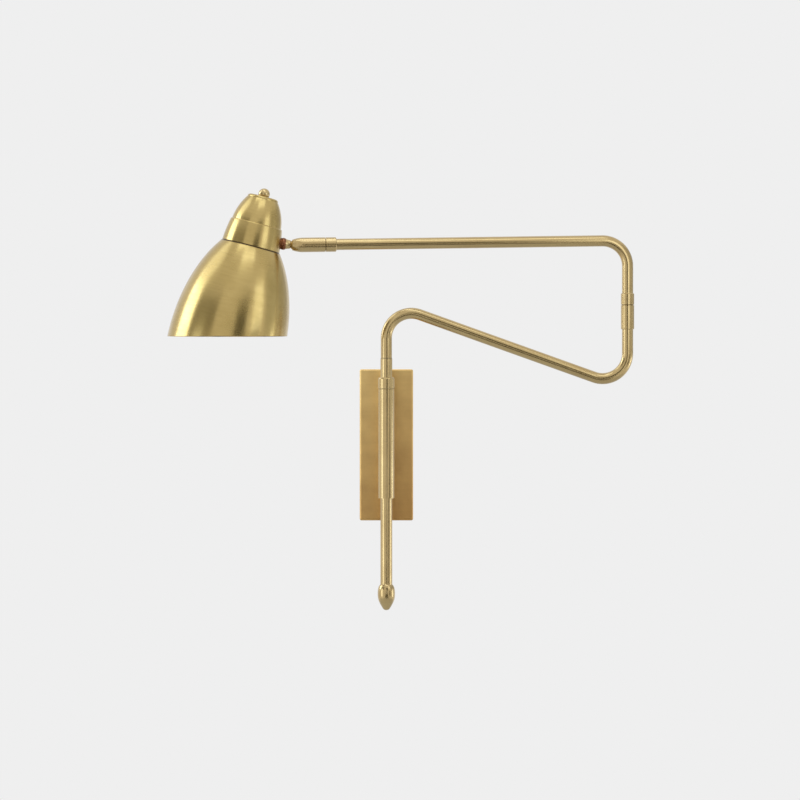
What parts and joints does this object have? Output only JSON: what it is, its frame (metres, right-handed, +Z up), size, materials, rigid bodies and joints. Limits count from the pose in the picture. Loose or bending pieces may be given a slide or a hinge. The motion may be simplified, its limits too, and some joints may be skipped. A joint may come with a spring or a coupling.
{
  "type": "wall reading lamp",
  "caption": "Brass wall reading lamp: wall box, height-adjustable mast, jointed tube arms and a tilting bell-shaped lamp head.",
  "frame": {"origin": "middle of the wall box's back, on the wall's face, midway between the wall screws", "axes": "+Y into the wall, -Y out to the room, +X to the right seen from the room, +Z up"},
  "size_m": [0.5225, 0.1547, 0.4721],
  "materials": {
    "plate_brass": "satin, lightly aged",
    "satin_brass": "satin, lacquered",
    "shade_brass": "spun and satin polished",
    "bright_brass": "turned",
    "copper": "copper, polished",
    "zinc_steel": "zinc plated",
    "black_nylon": "moulded",
    "grommet_rubber": "moulded",
    "block_nylon": "moulded",
    "phenolic": "moulded",
    "bulb_aluminium": "rolled",
    "opal_glass": "opal",
    "flex_sheath": "sheathed"
  },
  "bodies": {
    "wall_mount": {"wall_bracket": "zinc_steel", "wall_plate": "plate_brass", "plate_screws": "bright_brass", "cable_grommet": "grommet_rubber", "terminal_block": "block_nylon", "terminal_screws": "bright_brass", "earth_screw": "bright_brass", "upper_post": "satin_brass", "lower_post": "satin_brass", "post_nuts": "zinc_steel", "holder_sleeve": "satin_brass", "lower_bush": "bright_brass", "collet_body": "bright_brass", "wall_flex": "flex_sheath"},
    "clamp": {"clamp_ring": "satin_brass"},
    "mast": {"stem_tube": "satin_brass", "stem_finial": "satin_brass", "mast_bush": "bright_brass", "stem_flex": "flex_sheath"},
    "lower_arm_set": {"lower_arm": "satin_brass", "mast_pin": "bright_brass", "mast_nut": "bright_brass", "mast_washer": "black_nylon", "elbow_lower_collar": "satin_brass", "elbow_bush": "bright_brass", "elbow_washer": "black_nylon", "lower_arm_flex": "flex_sheath"},
    "upper_arm_set": {"upper_arm": "satin_brass", "elbow_upper_collar": "satin_brass", "elbow_pin": "bright_brass", "elbow_nut": "bright_brass", "head_collar": "satin_brass", "head_pin": "bright_brass", "head_nut": "bright_brass", "head_washer": "black_nylon", "upper_arm_flex": "flex_sheath"},
    "socket": {"ball_socket": "satin_brass", "head_bush": "bright_brass", "ball_seat": "black_nylon", "cup_springs": "zinc_steel"},
    "head": {"ball_stud": "satin_brass", "copper_ring": "copper", "stud_nut": "zinc_steel", "cap_shell": "satin_brass", "cap_nipple": "zinc_steel", "ball_nut": "satin_brass", "shade": "shade_brass", "shade_ring": "phenolic", "lamp_holder": "phenolic", "holder_shell": "bright_brass", "centre_contact": "bright_brass", "bulb_cap": "bulb_aluminium", "bulb_tip": "bright_brass", "bulb_glass": "opal_glass", "head_flex": "flex_sheath"}
  },
  "joints": [
    {"name": "clamp_turn", "type": "hinge", "parent": "wall_mount", "child": "clamp", "pos_m": [0, -0.05, 0.069], "axis": [0, 0, 1], "range_deg": [0, 120]},
    {"name": "height_slide", "type": "slide", "parent": "wall_mount", "child": "mast", "axis": [0, 0, 1], "range_m": [-0.012, 0.09]},
    {"name": "mast_swivel", "type": "hinge", "parent": "mast", "child": "lower_arm_set", "pos_m": [0, -0.05, 0.097], "axis": [0, 0, 1], "range_deg": [-180, 0]},
    {"name": "elbow_swivel", "type": "hinge", "parent": "lower_arm_set", "child": "upper_arm_set", "pos_m": [0.2704, -0.05, 0.157], "axis": [0, 0, 1], "range_deg": [-170, 170]},
    {"name": "head_spin", "type": "hinge", "parent": "upper_arm_set", "child": "socket", "pos_m": [-0.10188, -0.08257, 0.22359], "axis": [0.9961, 0.0871, 0.015], "range_deg": [-170, 170]},
    {"name": "head_tilt", "type": "hinge", "parent": "socket", "child": "head", "pos_m": [-0.10188, -0.08257, 0.22359], "axis": [-0.0872, 0.9962, 0], "range_deg": [-23, 10]}
  ]
}
